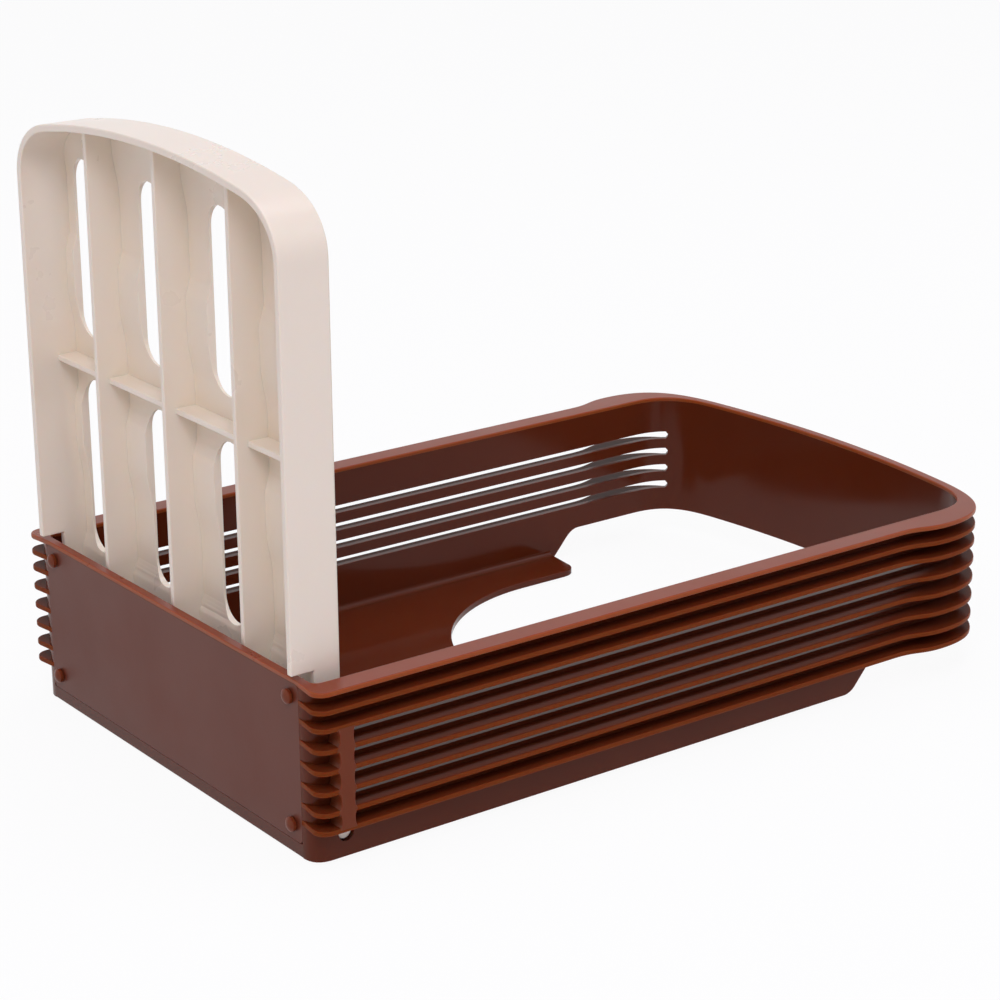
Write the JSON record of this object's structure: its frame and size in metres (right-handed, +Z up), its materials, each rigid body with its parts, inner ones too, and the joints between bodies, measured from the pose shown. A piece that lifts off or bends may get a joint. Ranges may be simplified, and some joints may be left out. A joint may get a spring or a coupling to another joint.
{
  "type": "bread slicer guide",
  "caption": "Folding bread slicing guide: an open ribbed tray with knife slots in its long walls and an arched, vented loaf board that swings up from its closed end on two stub pins",
  "frame": {"origin": "middle of the overall footprint, on the surface the tray lies on", "axes": "X along the tray from the closed end with the loaf board to the far end, Y across it, Z up"},
  "size_m": [0.24, 0.1554, 0.171],
  "materials": {
    "shell": "glossy moulded dark brown plastic",
    "loaf_board": "smooth moulded ivory plastic with a soft sheen"
  },
  "bodies": {
    "tray_body": {"tray": "shell", "end_panel": "shell", "end_stud_1": "shell", "end_stud_2": "shell", "end_stud_3": "shell", "end_stud_4": "shell"},
    "board_body": {"board": "loaf_board", "hinge_pin_left": "loaf_board", "hinge_pin_right": "loaf_board"}
  },
  "joints": [
    {"name": "board_fold", "type": "hinge", "parent": "tray_body", "child": "board_body", "pos_m": [-0.10865, 0, 0.0064], "axis": [0, 1, 0], "range_deg": [0, 90]}
  ]
}
